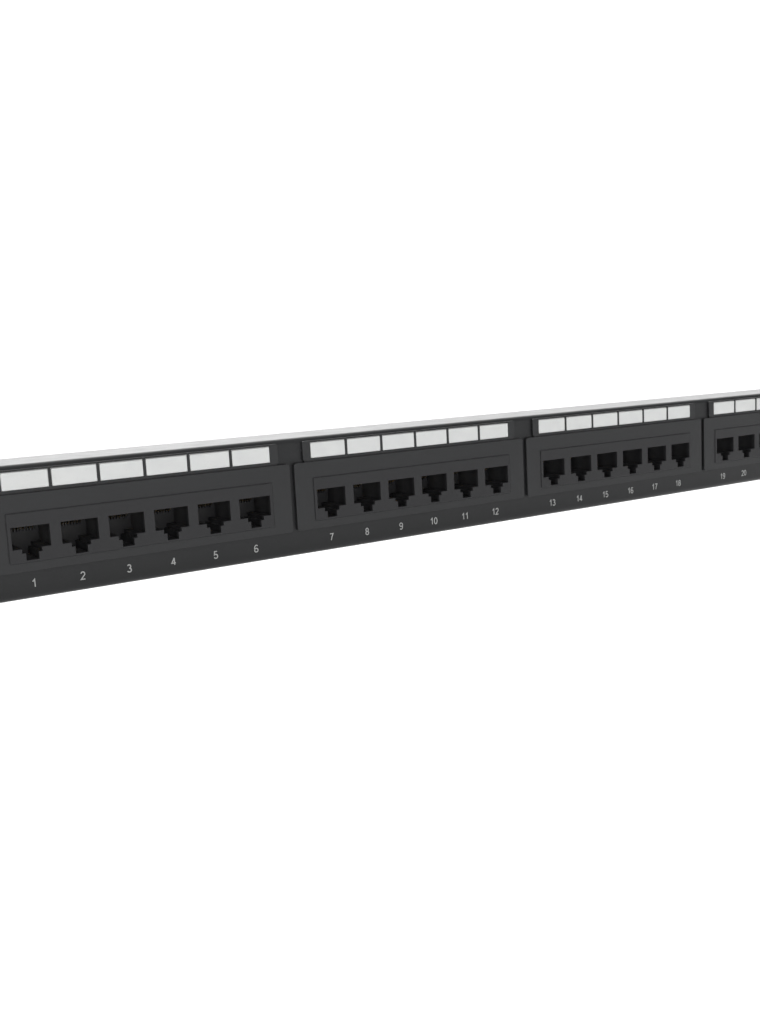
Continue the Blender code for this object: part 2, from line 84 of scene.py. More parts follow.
# Thickness of what is printed or etched on a flat face
PRINT = 0.03 * MM


def port_x(module, port):
    """The middle of a port, across the panel."""
    return MODULE_X[module] + (port - (PORTS - 1) / 2) * PORT_PITCH


def contact_x(middle, contact, pitch):
    """The place across the panel of one of the eight contacts or clips about a middle."""
    return middle + (contact - (CONTACTS - 1) / 2) * pitch


# ---------------------------------------------------------------- materials

def map_range(tree, value, low, high, from_low, from_high):
    """A node that turns values between from_low and from_high into ones between low and high."""
    node = tree.nodes.new("ShaderNodeMapRange")
    node.inputs["From Min"].default_value = from_low
    node.inputs["From Max"].default_value = from_high
    node.inputs["To Min"].default_value = low
    node.inputs["To Max"].default_value = high
    tree.links.new(value, node.inputs["Value"])
    return node


def scaled(color, factor):
    """A lighter or darker shade of a colour."""
    return tuple(factor * channel for channel in color)


class Finish:
    """A Principled material with short ways to add procedural colour, roughness and relief."""

    def __init__(self, name, color, roughness, metallic=0.0, ior=1.5):
        self.material = bpy.data.materials.new(name)
        self.material.use_nodes = True
        self.tree = self.material.node_tree
        self.shader = self.tree.nodes["Principled BSDF"]
        self.color = (*color, 1.0)
        self.shader.inputs["Base Color"].default_value = self.color
        self.shader.inputs["Roughness"].default_value = roughness
        self.shader.inputs["Metallic"].default_value = metallic
        self.shader.inputs["IOR"].default_value = ior
        self.place = self.tree.nodes.new("ShaderNodeTexCoord").outputs["Object"]
        self.height = None

    def link(self, source, target):
        self.tree.links.new(source, target)

    def noise(self, size, detail=2.0, stretch=(1, 1, 1)):
        """Noise whose features are about size metres across, drawn out by stretch."""
        mapping = self.tree.nodes.new("ShaderNodeMapping")
        mapping.inputs["Scale"].default_value = [1 / (size * s) for s in stretch]
        self.link(self.place, mapping.inputs["Vector"])
        noise = self.tree.nodes.new("ShaderNodeTexNoise")
        noise.inputs["Scale"].default_value = 1.0
        noise.inputs["Detail"].default_value = detail
        self.link(mapping.outputs["Vector"], noise.inputs["Vector"])
        return noise.outputs["Fac"]

    def remap(self, value, low, high, from_low=0.3, from_high=0.7):
        """A value in a new range; the old range is by default what noise mostly gives."""
        return map_range(self.tree, value, low, high, from_low, from_high).outputs["Result"]

    def tint(self, factor, color):
        """Mix the base colour towards another one by a factor."""
        mix = self.tree.nodes.new("ShaderNodeMix")
        mix.data_type = "RGBA"
        socket = self.shader.inputs["Base Color"]
        if socket.is_linked:
            self.link(socket.links[0].from_socket, mix.inputs["A"])
        else:
            mix.inputs["A"].default_value = self.color
        mix.inputs["B"].default_value = (*color, 1.0)
        self.link(factor, mix.inputs["Factor"])
        self.link(mix.outputs["Result"], socket)
        return self

    def rough(self, value, low, high):
        """Let the roughness vary between two levels with a value."""
        self.link(self.remap(value, low, high), self.shader.inputs["Roughness"])
        return self

    def relief(self, value, depth, strength):
        """Add a bump of that depth in metres on top of the ones already there."""
        bump = self.tree.nodes.new("ShaderNodeBump")
        bump.inputs["Distance"].default_value = depth
        bump.inputs["Strength"].default_value = strength
        self.link(value, bump.inputs["Height"])
        if self.height:
            self.link(self.height, bump.inputs["Normal"])
        self.height = bump.outputs["Normal"]
        self.link(self.height, self.shader.inputs["Normal"])
        return self

    def along(self, axis, start, end):
        """0 up to a place on an axis, in metres, rising to 1 at another."""
        split = self.tree.nodes.new("ShaderNodeSeparateXYZ")
        self.link(self.place, split.inputs[0])
        return self.remap(split.outputs[axis], 0.0, 1.0, start, end)

    def specular(self, level):
        self.shader.inputs["Specular IOR Level"].default_value = level
        return self

    def facing(self, axis):
        """1 where the surface faces along an axis, either way, and 0 elsewhere."""
        split = self.tree.nodes.new("ShaderNodeSeparateXYZ")
        normal = self.tree.nodes.new("ShaderNodeNewGeometry").outputs["Normal"]
        self.link(normal, split.inputs[0])
        size = self.tree.nodes.new("ShaderNodeMath")
        size.operation = "ABSOLUTE"
        self.link(split.outputs[axis], size.inputs[0])
        return self.remap(size.outputs[0], 0.0, 1.0, 0.6, 0.9)


def powder_coat(name, color, roughness, rubbed=0.0, bottom_shade_color=None):
    """Black polyester powder: an orange peel with a finer grain.

    rubbed, from 0 to 1, is how pale its worn patches get; the last argument, if given, is painted
    shade: a darker colour that the coat reaches at the panel's bottom edge, between two heights under
    the bezels.
    """
    # Heights between which the painted shade darkens the coat towards the bottom edge
    bottom_shade_heights = (-13 * MM, -21 * MM)
    finish = Finish(name, color, roughness).specular(0.32)
    cloud = finish.noise(35 * MM, 3.0)
    grain = finish.noise(0.35 * MM, 3.0)
    finish.tint(finish.remap(cloud, 0.0, 1.0), scaled(color, 1.15))
    finish.tint(finish.remap(grain, 0.0, 0.5, 0.55, 0.75), scaled(color, 2.0))
    if rubbed:
        wear = finish.remap(finish.noise(3.0 * MM, 4.0), 0.0, rubbed, 0.45, 0.72)
        finish.tint(wear, (0.10, 0.10, 0.105))
    # Painted shade: the coat darkens towards the panel's bottom edge, under the bezels
    if bottom_shade_color:
        finish.tint(finish.along("Z", *bottom_shade_heights), bottom_shade_color)
    finish.rough(finish.noise(6 * MM, 4.0), roughness - 0.025, roughness + 0.025)
    finish.relief(finish.noise(1.3 * MM, 2.0), 0.05 * MM, 0.5)
    finish.relief(grain, 0.03 * MM, 0.6)
    return finish.material


def moulded_black(name, color, roughness, grain_size, rubbed=0.0):
    """The finish of black ABS, with an eroded-mould texture and faint flow marks."""
    finish = Finish(name, color, roughness, ior=1.52).specular(0.36)
    flow = finish.noise(9 * MM, 4.0, (3, 1, 1))
    grain = finish.noise(grain_size, 3.0)
    finish.tint(finish.remap(flow, 0.0, 1.0), scaled(color, 1.2))
    finish.tint(finish.remap(grain, 0.0, 0.4, 0.55, 0.8), scaled(color, 1.9))
    if rubbed:
        wear = finish.remap(finish.noise(2.0 * MM, 4.0), 0.0, rubbed, 0.45, 0.72)
        finish.tint(wear, (0.075, 0.075, 0.08))
    finish.rough(flow, roughness - 0.06, roughness + 0.06)
    finish.relief(grain, 0.025 * MM, 0.7)
    return finish


def jack_black():
    """The jacks' plastic: painted shade just behind the textured face, painted light deep in the
    cavities.
    """
    painted_shade_depths = (-2.6 * MM, -1.0 * MM)
    painted_light_depths = (-0.5 * MM, 5.0 * MM)
    finish = moulded_black("jack_black", (0.018, 0.018, 0.0195), 0.50, 0.16 * MM)
    # Painted shade darkens the walls just behind the face; painted light pales them deeper in the
    # cavities
    finish.tint(finish.along("Y", *painted_shade_depths), (0.013, 0.013, 0.014))
    finish.tint(finish.along("Y", *painted_light_depths), (0.060, 0.060, 0.063))
    return finish.material


def writing_white():
    """Matt white polymer with a fine tooth and a little handling grime."""
    finish = Finish("label_white", (0.72, 0.73, 0.72), 0.55)
    finish.tint(finish.remap(finish.noise(7 * MM, 5.0), 0.0, 1.0), (0.68, 0.69, 0.685))
    finish.tint(finish.remap(finish.noise(0.6 * MM, 3.0), 0.0, 0.6, 0.62, 0.8), (0.60, 0.60, 0.59))
    finish.rough(finish.noise(3 * MM, 3.0), 0.48, 0.62)
    finish.relief(finish.noise(0.25 * MM, 2.0), 0.012 * MM, 0.6)
    return finish.material


def printed_ink():
    """White screen ink, thin in places so that the powder coat shows through a little."""
    finish = Finish("printed_ink", (0.34, 0.345, 0.34), 0.5)
    thin = finish.remap(finish.noise(0.30 * MM, 3.0), 0.0, 0.6, 0.58, 0.75)
    finish.tint(thin, (0.20, 0.20, 0.205))
    finish.relief(finish.noise(0.35 * MM, 3.0), 0.02 * MM, 0.6)
    return finish.material


def gold_plate():
    """Thin gold over nickel on the spring wires, with drawing marks."""
    finish = Finish("gold_plate", (0.86, 0.62, 0.27), 0.22, 1.0)
    finish.tint(finish.remap(finish.noise(1.2 * MM, 3.0), 0.0, 1.0), (0.72, 0.47, 0.17))
    finish.rough(finish.noise(0.5 * MM, 3.0, (1, 6, 1)), 0.16, 0.34)
    return finish.material


def tin_plate():
    """Dull tin on solder joints and clips."""
    finish = Finish("tin_plate", (0.74, 0.74, 0.72), 0.34, 1.0)
    finish.tint(finish.remap(finish.noise(2.2 * MM, 3.0), 0.0, 1.0), (0.66, 0.66, 0.65))
    finish.rough(finish.noise(1.0 * MM, 3.0, (1, 1, 4)), 0.30, 0.40)
    finish.relief(finish.noise(0.3 * MM, 2.0, (1, 6, 1)), 0.004 * MM, 0.4)
    return finish.material


def zinc_plate():
    """Bright zinc with a faint blue-yellow passivation."""
    finish = Finish("zinc_plate", (0.62, 0.62, 0.61), 0.34, 1.0)
    finish.tint(finish.remap(finish.noise(2.6 * MM, 2.0), 0.0, 0.5), (0.60, 0.58, 0.50))
    finish.tint(finish.remap(finish.noise(1.9 * MM, 2.0), 0.0, 0.35, 0.5, 0.8), (0.52, 0.56, 0.61))
    finish.rough(finish.noise(0.8 * MM, 2.0), 0.30, 0.40)
    return finish.material


def solder_mask():
    """Green lacquer over woven glass on the faces, and bare laminate on the cut edges."""
    finish = Finish("solder_mask", (0.010, 0.088, 0.044), 0.28)
    finish.tint(finish.remap(finish.noise(14 * MM, 3.0), 0.0, 1.0), (0.013, 0.115, 0.055))
    weave = finish.tree.nodes.new("ShaderNodeTexChecker")
    weave.inputs["Scale"].default_value = 1 / (0.45 * MM)
    finish.link(finish.place, weave.inputs["Vector"])
    finish.tint(finish.remap(weave.outputs["Fac"], 0.0, 0.10, 0.0, 1.0), (0.02, 0.15, 0.075))
    finish.tint(finish.remap(finish.facing("Y"), 1.0, 0.0, 0.0, 1.0), (0.48, 0.40, 0.20))
    finish.rough(finish.noise(2 * MM, 3.0), 0.22, 0.34)
    finish.relief(weave.outputs["Fac"], 0.004 * MM, 0.4)
    return finish.material


def trace_green():
    """Solder mask where there is copper under it."""
    finish = Finish("masked_copper", (0.022, 0.185, 0.085), 0.26)
    finish.tint(finish.remap(finish.noise(3 * MM, 3.0), 0.0, 1.0), (0.028, 0.22, 0.10))
    finish.rough(finish.noise(1 * MM, 3.0), 0.20, 0.32)
    return finish.material


def film(name, color):
    """A printed polyester film label."""
    finish = Finish(name, color, 0.38)
    finish.tint(finish.remap(finish.noise(0.5 * MM, 3.0), 0.0, 0.35, 0.55, 0.8), scaled(color, 0.75))
    finish.rough(finish.noise(4 * MM, 3.0), 0.32, 0.44)
    finish.relief(finish.noise(5 * MM, 2.0), 0.03 * MM, 0.3)
    return finish.material


STEEL_COLOR = (0.0165, 0.017, 0.018)
BEZEL_COLOR = (0.0195, 0.020, 0.0212)
BLOCK_COLOR = (0.020, 0.020, 0.0215)
# The plain coat carries a painted shade towards the panel's bottom edge
POWDER = powder_coat("powder_coat", STEEL_COLOR, 0.42, bottom_shade_color=(0.008, 0.0085, 0.009))
POWDER_EDGE = powder_coat("powder_coat_edge", (0.024, 0.0245, 0.026), 0.34, 0.8)
BEZEL_BLACK = moulded_black("bezel_black", BEZEL_COLOR, 0.46, 0.22 * MM).material
BEZEL_EDGE = moulded_black("bezel_black_edge", (0.026, 0.0265, 0.028), 0.38, 0.22 * MM, 0.7).material
JACK_BLACK = jack_black()
CARRIER_BLACK = moulded_black("carrier_black", (0.008, 0.008, 0.009), 0.55, 0.18 * MM).material
BLOCK_BLACK = moulded_black("block_black", BLOCK_COLOR, 0.44, 0.20 * MM).material
BLOCK_EDGE = moulded_black("block_black_edge", (0.028, 0.028, 0.030), 0.36, 0.20 * MM, 0.6).material
WHITE = writing_white()
INK = printed_ink()
GOLD = gold_plate()
TIN = tin_plate()
ZINC = zinc_plate()
MASK = solder_mask()
TRACE = trace_green()
FILM_WHITE = film("film_white", (0.74, 0.73, 0.68))
WIRE_COLORS = [
    film("film_blue", (0.03, 0.12, 0.50)), film("film_orange", (0.80, 0.25, 0.03)),
    film("film_green", (0.03, 0.32, 0.09)), film("film_brown", (0.17, 0.07, 0.03))]


# ---------------------------------------------------------------- mesh tools

def piece(name, body, material, rides_on="panel", smooth=40.0):
    """Turn a bmesh, in the frame's coordinates, into a shown piece that rides on a body."""
    mesh = bpy.data.meshes.new(name)
    body.to_mesh(mesh)
    body.free()
    mesh.materials.append(material)
    mesh.shade_smooth()
    mesh.set_sharp_from_angle(angle=math.radians(smooth))
    made = bpy.data.objects.new(name, mesh)
    bpy.context.scene.collection.objects.link(made)
    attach(made, rides_on)
    return made


def round_edges(made, width, segments=2):
    """Give a piece's hard edges a small radius, with clean shading on the flats."""
    bevel = made.modifiers.new("edge_radius", "BEVEL")
    bevel.width = width
    bevel.segments = segments
    bevel.limit_method = "ANGLE"
    bevel.angle_limit = math.radians(HARD_EDGE)
    bevel.harden_normals = True
    return bevel


def join_flat_faces(body):
    """Merge neighbouring coplanar faces, as long as the result doesn't touch itself."""
    flat = math.radians(0.3)
    for edge in list(body.edges):
        if not edge.is_valid or len(edge.link_faces) != 2:
            continue
        one, other = edge.link_faces
        if one.normal.angle(other.normal, math.pi) > flat:
            continue
        if len(set(one.verts) & set(other.verts)) == 2:
            bmesh.utils.face_join((one, other))


def refined(node, material, width, rides_on="panel", segments=2, edge=None, joined=False):
    """A CAD node's own solid with its corners welded and its edges rounded, in place of the node.

    width is the radius of the edges and edge their material. joined merges the flat faces first;
    without it their shading is evened out by weighted normals.
    """
    body = bmesh.new()
    body.from_mesh(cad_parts[node].data)
    bmesh.ops.remove_doubles(body, verts=body.verts, dist=WELD)
    if joined:
        body.normal_update()
        join_flat_faces(body)
    for layer in list(body.loops.layers.uv):
        body.loops.layers.uv.remove(layer)
    made = piece(f"{node}_shape", body, material, rides_on)
    bevel = round_edges(made, width, segments)
    if not joined:
        evened = made.modifiers.new("even_flats", "WEIGHTED_NORMAL")
        evened.mode = "FACE_AREA"
        evened.weight = 80
        evened.keep_sharp = True
    if edge:
        made.data.materials.append(edge)
        bevel.material = 1
    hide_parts(node)
    return made


def add_box(body, low, high):
    """Add a box between two opposite corners, and give its corners back."""
    size = [high[axis] - low[axis] for axis in range(3)]
    centre = [(high[axis] + low[axis]) / 2 for axis in range(3)]
    place = Matrix.Translation(centre) @ Matrix.Diagonal((*size, 1.0))
    return bmesh.ops.create_cube(body, size=1.0, matrix=place)["verts"]


def add_prism(body, outline, low, high, to_frame):
    """Extrude a flat outline between two levels; to_frame turns (u, v, level) into a point."""
    bottom = [body.verts.new(to_frame(u, v, low)) for u, v in outline]
    top = [body.verts.new(to_frame(u, v, high)) for u, v in outline]
    body.faces.new(bottom)
    body.faces.new(list(reversed(top)))
    for index in range(len(outline)):
        after = (index + 1) % len(outline)
        body.faces.new((bottom[after], bottom[index], top[index], top[after]))


def rounded_rectangle(centre, half_width, half_height, radius, steps=4):
    """The outline of a rectangle with round corners, anticlockwise from its right side."""
    points = []
    for quarter, (sx, sz) in enumerate(((1, 1), (-1, 1), (-1, -1), (1, -1))):
        for step in range(steps + 1):
            angle = math.radians(90 * quarter + 90 * step / steps)
            points.append((
                centre[0] + sx * (half_width - radius) + radius * math.cos(angle),
                centre[1] + sz * (half_height - radius) + radius * math.sin(angle)))
    return points


def facing_front(u, v, level):
    """Outlines drawn across and up, with levels that run from front to rear."""
    return (u, level, v)


def as_is(u, v, level):
    """Outlines drawn across and to the rear, with levels that run upwards."""
    return (u, v, level)


def wires(name, paths, radius, material, rides_on):
    """Round wires as one curve piece, one spline for each path."""
    curve = bpy.data.curves.new(name, "CURVE")
    curve.dimensions = "3D"
    curve.bevel_depth = radius
    curve.bevel_resolution = 2
    curve.use_fill_caps = True
    for path in paths:
        spline = curve.splines.new("POLY")
        spline.points.add(len(path) - 1)
        for point, place in zip(spline.points, path):
            point.co = (*place, 1.0)
    curve.materials.append(material)
    made = bpy.data.objects.new(name, curve)
    bpy.context.scene.collection.objects.link(made)
    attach(made, rides_on)
    return made


# ---------------------------------------------------------------- front of the panel

def make_steel():
    """The folded sheet, with its coat worn paler along the edges."""
    refined("front_panel", POWDER, width=0.12 * MM, edge=POWDER_EDGE)


def make_bezels():
    """Each bezel, and a ledge on it that fills the slit under the label holder."""
    end_inset = 0.5 * MM
    setback = 0.35 * MM
    overlap = 0.3 * MM
    steel_gap = 0.05 * MM
    holder_gap = 0.06 * MM
    for k in range(MODULES):
        refined(f"bezel_{k + 1}", BEZEL_BLACK, width=0.35 * MM, segments=3,
                edge=BEZEL_EDGE)
        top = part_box(f"bezel_{k + 1}")[1].z
        low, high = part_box(f"label_frame_{k + 1}")
        ledge = bmesh.new()
        add_box(ledge, (low.x + end_inset, low.y + setback, top - overlap),
                (high.x - end_inset, STEEL_FRONT - steel_gap, low.z - holder_gap))
        piece(f"bezel_ledge_{k + 1}", ledge, BEZEL_BLACK)


def make_jack_blocks():
    """Each block, and a thin rim that closes the clearance between its face and the bezel."""
    reach = JACK_CLEARANCE - 0.04 * MM
    setback = 0.34 * MM
    depth = 1.6 * MM
    for k in range(MODULES):
        node = f"jack_block_{k + 1}"
        refined(node, JACK_BLACK, width=0.16 * MM)
        low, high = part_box(node)
        front = low.y + setback
        rear = low.y + depth
        body = bmesh.new()
        bars = (
            ((low.x - reach, high.z), (high.x + reach, high.z + reach)),
            ((low.x - reach, low.z - reach), (high.x + reach, low.z)),
            ((low.x - reach, low.z), (low.x, high.z)),
            ((high.x, low.z), (high.x + reach, high.z)))
        for (x0, z0), (x1, z1) in bars:
            add_box(body, (x0, front, z0), (x1, rear, z1))
        piece(f"jack_rim_{k + 1}", body, BEZEL_BLACK)


def make_labels():
    """The holder keeps its shape; the insert's six fields get rounded corners and edges."""
    base_thickness = 0.3 * MM
    overlap = 0.05 * MM
    margin = 0.25 * MM
    field_half_width = 7.357 * MM
    corner_radius = 0.40 * MM
    for k in range(MODULES):
        rider = f"label_{k + 1}"
        refined(f"label_frame_{k + 1}", BEZEL_BLACK, width=0.10 * MM, rides_on=rider,
                edge=BEZEL_EDGE)
        low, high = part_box(f"label_insert_{k + 1}")
        base_front = high.y - base_thickness
        body = bmesh.new()
        add_box(body, (low.x, base_front, low.z), (high.x, high.y, high.z))
        middle = (low.z + high.z) / 2
        half_height = (high.z - low.z) / 2 - margin
        for port in range(PORTS):
            outline = rounded_rectangle(
                (port_x(k, port), middle), field_half_width, half_height, corner_radius)
            add_prism(body, outline, low.y, base_front + overlap, facing_front)
        insert = piece(f"label_insert_{k + 1}_shape", body, WHITE, rider)
        round_edges(insert, 0.10 * MM)
        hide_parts(f"label_insert_{k + 1}")


def turn(centre, radii, start, end, steps=14):
    """Points along an elliptical arc, with angles in degrees anticlockwise from the right."""
    points = []
    for step in range(steps + 1):
        angle = math.radians(start + (end - start) * step / steps)
        points.append((
            centre[0] + radii[0] * math.cos(angle), centre[1] + radii[1] * math.sin(angle)))
    return points


def digit_strokes():
    """The ten digits as pen strokes, in units of the digit height."""
    stem_of_six = turn((0.34, 0.50), (0.27, 0.44), 48, 180)
    bowl_of_six = turn((0.31, 0.30), (0.24, 0.24), 90, 450, 24)
    six = [stem_of_six, bowl_of_six]
    return {
        "0": [turn((0.30, 0.50), (0.24, 0.44), 90, 450, 28)],
        "1": [[(0.12, 0.70), (0.36, 0.94), (0.36, 0.06)]],
        "2": [turn((0.29, 0.69), (0.22, 0.25), 165, -30) + [(0.05, 0.06), (0.54, 0.06)]],
        "3": [
            turn((0.28, 0.72), (0.20, 0.22), 150, -90),
            turn((0.28, 0.28), (0.25, 0.22), 90, -155)],
        "4": [[(0.41, 0.06), (0.41, 0.94)], [(0.41, 0.94), (0.06, 0.30), (0.57, 0.30)]],
        "5": [
            [(0.50, 0.94), (0.15, 0.94), (0.10, 0.50)] + turn((0.29, 0.32), (0.24, 0.26), 125, -155)],
        "6": six,
        "7": [[(0.06, 0.94), (0.54, 0.94), (0.33, 0.50), (0.22, 0.06)]],
        "8": [
            turn((0.30, 0.72), (0.19, 0.22), 90, 450, 24),
            turn((0.30, 0.28), (0.23, 0.22), 90, 450, 24)],
        "9": [[(0.61 - u, 1.0 - v) for u, v in stroke] for stroke in six]}


def add_stroke(body, path, half_width, corner, scale):
    """A flat ribbon along a path of (u, v) points, drawn upright from a corner at a scale."""
    closed = math.dist(path[0], path[-1]) < half_width
    # Corners are mitred, except that one sharper than this keeps a blunter mitre
    sharpest = 0.45
    if closed:
        path = path[:-1]
    sides = []
    count = len(path)
    for index, (u, v) in enumerate(path):
        before = path[index - 1] if index or closed else path[index]
        after = path[(index + 1) % count] if index + 1 < count or closed else path[index]
        come = Vector((u - before[0], v - before[1]))
        go = Vector((after[0] - u, after[1] - v))
        come = come.normalized() if come.length else go.normalized()
        go = go.normalized() if go.length else come
        middle = (come + go).normalized()
        across = Vector((-middle.y, middle.x)) * half_width / max(middle.dot(go), sharpest)
        sides.append([
            body.verts.new((corner[0] + side_u * scale, corner[1], corner[2] + side_v * scale))
            for side_u, side_v in ((u + across.x, v + across.y), (u - across.x, v - across.y))])
    for index in range(count if closed else count - 1):
        left, right = sides[index]
        next_left, next_right = sides[(index + 1) % count]
        body.faces.new((left, right, next_right, next_left))


def make_numbers():
    """Port numbers from 1 to 24, printed in white on the steel below the ports."""
    height = 2.8 * MM
    middle = -16.75 * MM
    ink_front = STEEL_FRONT - 0.02 * MM
    # The strokes of a digit lie in layers, so that they don't share a plane where they cross
    layer = 0.012 * MM
    # In units of the height: from digit to digit, half a digit and half a stroke
    advance = 0.66
    half_digit = 0.305
    pen = 0.068
    strokes = digit_strokes()
    body = bmesh.new()
    for k in range(MODULES):
        for port in range(PORTS):
            number = str(k * PORTS + port + 1)
            start = port_x(k, port) - (advance * (len(number) - 1) / 2 + half_digit) * height
            for position, digit in enumerate(number):
                left = start + position * advance * height
                for order, path in enumerate(strokes[digit]):
                    corner = (left, ink_front - order * layer, middle - height / 2)
                    add_stroke(body, path, pen, corner, height)
    bmesh.ops.recalc_face_normals(body, faces=body.faces)
    for face in body.faces:
        if face.normal.y > 0:
            face.normal_flip()
    bmesh.ops.solidify(body, geom=list(body.faces), thickness=PRINT)
    piece("port_numbers", body, INK)


# ---------------------------------------------------------------- inside the jacks

# Places along a contact wire: depth, and height over the carrier's underside, in millimetres
CONTACT_ROUTE = (
    (5.0, 0.85), (2.75, 0.85), (2.25, 0.75), (1.98, 0.45), (2.0, 0.12), (2.35, -0.20),
    (5.6, -1.85), (8.55, -3.42), (8.78, -3.48))
CONTACT_RADIUS = 0.17 * MM


def make_contacts():
    """Carriers with a nose over each port, and eight gold wires bent round it into the cavity."""
    finger_half = 4.9 * MM
    finger_height = 2.2 * MM
    bar_depth = 2.4 * MM
    nose_depth = 1.3 * MM
    nose_height = 0.8 * MM
    overlap = 0.1 * MM
    for k in range(MODULES):
        low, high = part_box(f"contact_carrier_{k + 1}")
        top = high.z
        floor = top - finger_height
        body = bmesh.new()
        add_box(body, (low.x, high.y - bar_depth, floor), (high.x, high.y, top))
        paths = []
        for port in range(PORTS):
            x = port_x(k, port)
            add_box(body, (x - finger_half, low.y + nose_depth, floor),
                    (x + finger_half, high.y - bar_depth + overlap, top))
            add_box(body, (x - finger_half, low.y, top - nose_height),
                    (x + finger_half, low.y + nose_depth + overlap, top))
            for contact in range(CONTACTS):
                wire_x = contact_x(x, contact, CONTACT_PITCH)
                paths.append([(wire_x, y * MM, floor + rise * MM) for y, rise in CONTACT_ROUTE])
        carrier = piece(f"contact_carrier_{k + 1}_shape", body, CARRIER_BLACK)
        round_edges(carrier, 0.08 * MM)
        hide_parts(f"contact_carrier_{k + 1}")
        wires(f"contact_wires_{k + 1}", paths, CONTACT_RADIUS, GOLD, "panel")
        make_contact_guides(k)


def make_contact_guides(k):
    """The comb at the back of each cavity, with a tooth on both sides of every wire."""
    half_tooth = 0.22 * MM
    depth = 1.3 * MM
    height = 3.2 * MM
    overlap = 0.05 * MM
    guides = bmesh.new()
    for port in range(PORTS):
        for tooth in range(CONTACTS + 1):
            x = port_x(k, port) + (tooth - CONTACTS / 2) * CONTACT_PITCH
            add_box(guides, (x - half_tooth, CAVITY_REAR - depth, CAVITY_TOP - height),
                    (x + half_tooth, CAVITY_REAR + overlap, CAVITY_TOP + overlap))
    comb = piece(f"contact_guides_{k + 1}", guides, JACK_BLACK)
    round_edges(comb, 0.05 * MM, 1)


# ---------------------------------------------------------------- back of the panel

def make_boards():
    """The circuit boards, with barely broken edges."""
    for k in range(MODULES):
        refined(f"circuit_board_{k + 1}", MASK, width=0.05 * MM, segments=1)


def block_x(module, port):
    """The middle of a port's punch-down block."""
    low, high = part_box(f"punch_down_block_{module * PORTS + port + 1:02d}")
    return (low.x + high.x) / 2


def add_cone(body, x, z, middle, depth, front_radius, rear_radius):
    """A cone or disc that points to the rear, about a middle behind the back of the board."""
    place = Matrix.Translation((x, BOARD_BACK + middle, z))
    bmesh.ops.create_cone(
        body, cap_ends=True, segments=12, radius1=front_radius, radius2=rear_radius, depth=depth,
        matrix=place @ Matrix.Rotation(math.radians(-90), 4, "X"))


def trace_path(body, start, end, lane):
    """A flat trace: straight out of the joint to its lane, along it, and on to the clip."""
    half = 0.11 * MM
    sunk = 0.02 * MM
    points = [start, (start[0], lane), (end[0], lane), end]
    for (x0, z0), (x1, z1) in zip(points, points[1:]):
        if abs(x1 - x0) + abs(z1 - z0) > half:
            low = (min(x0, x1) - half, BOARD_BACK - sunk, min(z0, z1) - half)
            high = (max(x0, x1) + half, BOARD_BACK + PRINT, max(z0, z1) + half)
            add_box(body, low, high)


def make_joints_and_traces():
    """Solder joints of the jacks behind each board, and the traces that leave them."""
    # Heights of the joints of even and of odd contacts
    joint_rows = (2.2 * MM, 4.3 * MM)
    # Where the traces end and where their first lane is, for the upper and the lower row of blocks
    upper_end, upper_lane = 6.6 * MM, 3.8 * MM
    lower_end, lower_lane = -8.2 * MM, -4.2 * MM
    lane_pitch = 0.55 * MM
    for k in range(MODULES):
        solder = bmesh.new()
        traces = bmesh.new()
        for port in range(PORTS):
            upper = port < PORTS // 2
            end, first_lane = (upper_end, upper_lane) if upper else (lower_end, lower_lane)
            for contact in range(CONTACTS):
                x = contact_x(port_x(k, port), contact, CONTACT_PITCH)
                z = joint_rows[contact % 2]
                add_cone(solder, x, z, middle=0.02 * MM, depth=0.05 * MM,
                         front_radius=0.62 * MM, rear_radius=0.62 * MM)
                add_cone(solder, x, z, middle=0.38 * MM, depth=0.75 * MM,
                         front_radius=0.46 * MM, rear_radius=0.16 * MM)
                clip = (contact_x(block_x(k, port), contact, CLIP_PITCH), end)
                trace_path(traces, (x, z), clip, first_lane + contact * lane_pitch)
        piece(f"solder_joints_{k + 1}", solder, TIN)
        piece(f"board_traces_{k + 1}", traces, TRACE)


def make_punch_down_blocks():
    """Rounded blocks with two tin-plated prongs in each slot, pointed like a fork."""
    seat_depth = 6.6 * MM
    half_height = 1.2 * MM
    # One prong: how far out and how far from its seat its corners are, in millimetres
    prong = ((0.52, 0.0), (0.10, 0.0), (0.10, 3.4), (0.40, 4.6), (0.52, 4.6))
    for k in range(MODULES):
        prongs = bmesh.new()
        for port in range(PORTS):
            node = f"punch_down_block_{k * PORTS + port + 1:02d}"
            low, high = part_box(node)
            refined(node, BLOCK_BLACK, width=0.14 * MM, edge=BLOCK_EDGE,
                    joined=True)
            middle_z = (low.z + high.z) / 2
            seat = high.y - seat_depth
            for contact in range(CONTACTS):
                x = contact_x(block_x(k, port), contact, CLIP_PITCH)
                for side in (-1, 1):
                    outline = [(x + side * out * MM, seat + up * MM) for out, up in prong]
                    add_prism(prongs, outline, middle_z - half_height, middle_z + half_height, as_is)
        bmesh.ops.recalc_face_normals(prongs, faces=prongs.faces)
        piece(f"punch_down_clips_{k + 1}", prongs, TIN)


